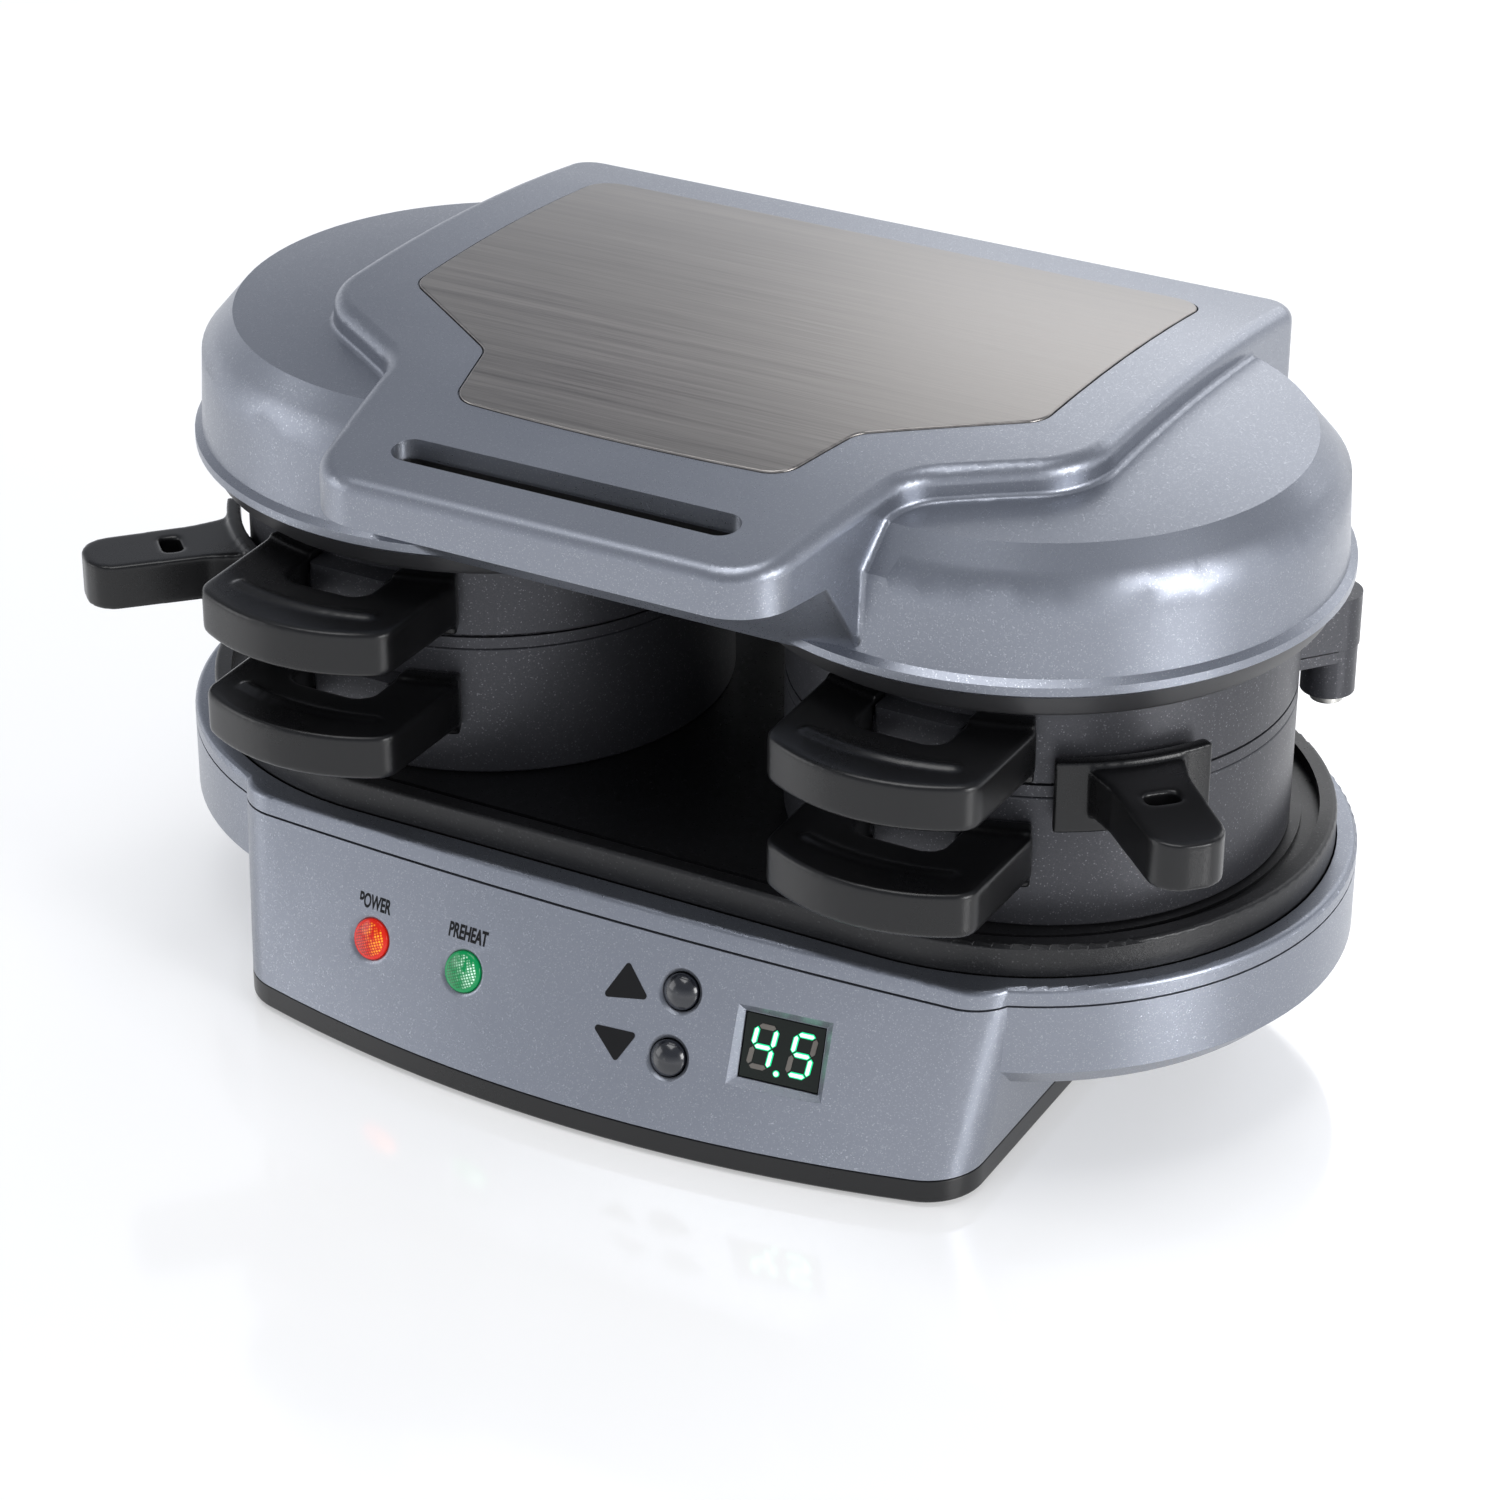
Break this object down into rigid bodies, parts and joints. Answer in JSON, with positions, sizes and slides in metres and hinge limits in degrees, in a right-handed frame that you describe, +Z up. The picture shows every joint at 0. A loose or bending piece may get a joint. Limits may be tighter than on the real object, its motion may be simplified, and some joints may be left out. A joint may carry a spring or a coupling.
{
  "type": "dual breakfast sandwich maker",
  "caption": "Hinged countertop cooker with side-by-side stacked cooking rings, swing-out plates, crowned lid and a leaning control panel with lamps, buttons and a timer display.",
  "frame": {"origin": "centre of the footprint on the worktop, under the feet", "axes": "+X to the user's right along the row of two cooking stations, -Y towards the user (handles and control panel), +Z up"},
  "size_m": [0.286, 0.1893, 0.1596],
  "materials": {
    "silver_paint": "silver-blue metallic paint with a fine fleck, on moulded heat-resistant plastic",
    "brushed_steel": "stainless steel brushed from side to side",
    "dark_plastic": "dark grey satin heat-resistant plastic",
    "black_plastic": "satin black phenolic plastic",
    "button_black": "glossy black",
    "rubber": "soft black rubber",
    "steel": "zinc-plated steel",
    "tray_coating": "matte black coated sheet steel",
    "nonstick": "anthracite non-stick coating with a fine sparkle, on cast aluminium",
    "element": "sheathed heating element, dull",
    "circuit_board": "green circuit board",
    "display": "black two-digit display",
    "red_lens": "faceted translucent red",
    "green_lens": "faceted translucent green"
  },
  "bodies": {
    "base": {"base_housing": "silver_paint", "base_top_frame": "silver_paint", "bottom_cover": "black_plastic", "rubber_feet": "rubber", "cover_screws": "steel", "heating_tray": "tray_coating", "left_bottom_plate": "nonstick", "right_bottom_plate": "nonstick", "left_bottom_element": "element", "right_bottom_element": "element", "thermostats": "steel", "power_lens": "red_lens", "preheat_lens": "green_lens", "control_board": "circuit_board", "button_switches": "black_plastic", "display_module": "display", "cord_gland": "black_plastic", "hinge_bracket": "black_plastic", "hinge_pin": "steel"},
    "lid": {"lid_shell": "silver_paint", "lid_steel_plate": "brushed_steel", "lid_inner_plate": "dark_plastic", "lid_screws": "steel", "left_top_plate": "nonstick", "right_top_plate": "nonstick", "left_top_element": "element", "right_top_element": "element"},
    "up_button": {"up_button": "button_black"},
    "down_button": {"down_button": "button_black"},
    "left_upper_leaf": {"left_upper_ring": "nonstick", "left_upper_handle": "black_plastic", "left_upper_screws": "steel", "left_pivot_pin": "steel"},
    "left_lower_leaf": {"left_lower_ring": "nonstick", "left_lower_handle": "black_plastic", "left_lower_screws": "steel"},
    "left_egg_slide": {"left_egg_plate": "nonstick", "left_egg_lever": "black_plastic"},
    "right_upper_leaf": {"right_upper_ring": "nonstick", "right_upper_handle": "black_plastic", "right_upper_screws": "steel", "right_pivot_pin": "steel"},
    "right_lower_leaf": {"right_lower_ring": "nonstick", "right_lower_handle": "black_plastic", "right_lower_screws": "steel"},
    "right_egg_slide": {"right_egg_plate": "nonstick", "right_egg_lever": "black_plastic"}
  },
  "joints": [
    {"name": "lid_hinge", "type": "hinge", "parent": "base", "child": "lid", "pos_m": [0, 0.087, 0.066], "axis": [-1, 0, 0], "range_deg": [0, 105]},
    {"name": "left_upper_hinge", "type": "hinge", "parent": "base", "child": "left_upper_leaf", "pos_m": [-0.071, 0.087, 0.066], "axis": [-1, 0, 0], "range_deg": [0, 70]},
    {"name": "left_lower_hinge", "type": "hinge", "parent": "base", "child": "left_lower_leaf", "pos_m": [-0.071, 0.087, 0.066], "axis": [-1, 0, 0], "range_deg": [0, 35]},
    {"name": "right_upper_hinge", "type": "hinge", "parent": "base", "child": "right_upper_leaf", "pos_m": [0.071, 0.087, 0.066], "axis": [-1, 0, 0], "range_deg": [0, 70]},
    {"name": "right_lower_hinge", "type": "hinge", "parent": "base", "child": "right_lower_leaf", "pos_m": [0.071, 0.087, 0.066], "axis": [-1, 0, 0], "range_deg": [0, 35]},
    {"name": "left_egg_swing", "type": "hinge", "parent": "left_upper_leaf", "child": "left_egg_slide", "pos_m": [-0.1234, 0.04894, 0.09], "axis": [0, 0, -1], "range_deg": [0, 125]},
    {"name": "right_egg_swing", "type": "hinge", "parent": "right_upper_leaf", "child": "right_egg_slide", "pos_m": [0.1234, 0.04894, 0.09], "axis": [0, 0, 1], "range_deg": [0, 125]},
    {"name": "up_button_press", "type": "slide", "parent": "base", "child": "up_button", "axis": [-0.0323, 0.9263, -0.3755], "range_m": [0, 0.0012], "stiffness_N_per_m": 400},
    {"name": "down_button_press", "type": "slide", "parent": "base", "child": "down_button", "axis": [-0.05, 0.9255, -0.3755], "range_m": [0, 0.0012], "stiffness_N_per_m": 400}
  ],
  "couplings": [
    {"joint": "left_upper_hinge", "follows": "lid_hinge", "ratio": 0.66667},
    {"joint": "left_lower_hinge", "follows": "lid_hinge", "ratio": 0.33333},
    {"joint": "right_upper_hinge", "follows": "lid_hinge", "ratio": 0.66667},
    {"joint": "right_lower_hinge", "follows": "lid_hinge", "ratio": 0.33333}
  ]
}
